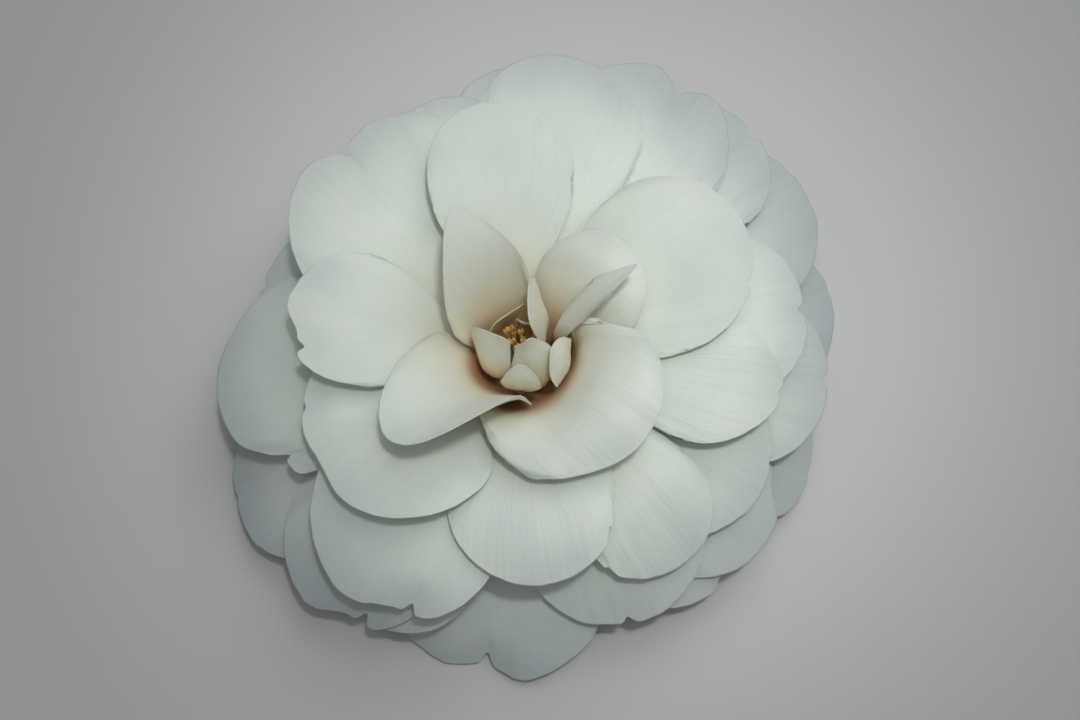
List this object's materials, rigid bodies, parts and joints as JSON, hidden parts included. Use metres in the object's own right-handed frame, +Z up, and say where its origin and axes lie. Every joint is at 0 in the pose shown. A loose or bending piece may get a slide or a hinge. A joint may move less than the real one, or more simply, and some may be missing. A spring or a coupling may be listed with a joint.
{
  "type": "camellia flower",
  "caption": "White formal double camellia bloom as picked: layered rounded petals with softly notched margins round a cream heart of petaloids and stamens, on a green calyx.",
  "frame": {"origin": "middle of the small flat on the underside of the receptacle, where the bloom came off its twig and on which it rests", "axes": "+Z up along the bloom's axis out of its face, X and Y across the bloom"},
  "size_m": [0.1017, 0.1011, 0.0432],
  "materials": {
    "petal": "soft satin white, faintly cream towards the heart",
    "petaloid": "soft satin cream",
    "stamen": "matt golden ochre",
    "sepal": "matt yellow-green with brown margins"
  },
  "bodies": {
    "root": {"calyx": "sepal", "guard_petal_1": "petal", "guard_petal_2": "petal", "guard_petal_3": "petal", "guard_petal_4": "petal", "guard_petal_5": "petal", "guard_petal_6": "petal", "guard_petal_7": "petal", "guard_petal_8": "petal", "guard_petal_9": "petal", "guard_petal_10": "petal", "outer_petal_1": "petal", "outer_petal_2": "petal", "outer_petal_3": "petal", "outer_petal_4": "petal", "outer_petal_5": "petal", "outer_petal_6": "petal", "outer_petal_7": "petal", "outer_petal_8": "petal", "outer_petal_9": "petal", "middle_petal_1": "petal", "middle_petal_2": "petal", "middle_petal_3": "petal", "middle_petal_4": "petal", "middle_petal_5": "petal", "middle_petal_6": "petal", "middle_petal_7": "petal", "face_petal_1": "petal", "face_petal_2": "petal", "face_petal_3": "petal", "face_petal_4": "petal", "face_petal_5": "petal", "face_petal_6": "petal", "face_petal_7": "petal", "inner_petal_1": "petal", "inner_petal_2": "petal", "inner_petal_3": "petal", "inner_petal_4": "petal", "inner_petal_5": "petal", "petaloid_1": "petaloid", "petaloid_2": "petaloid", "petaloid_3": "petaloid", "petaloid_4": "petaloid", "petaloid_5": "petaloid", "petaloid_6": "petaloid", "petaloid_7": "petaloid", "stamens": "stamen"}
  },
  "joints": []
}
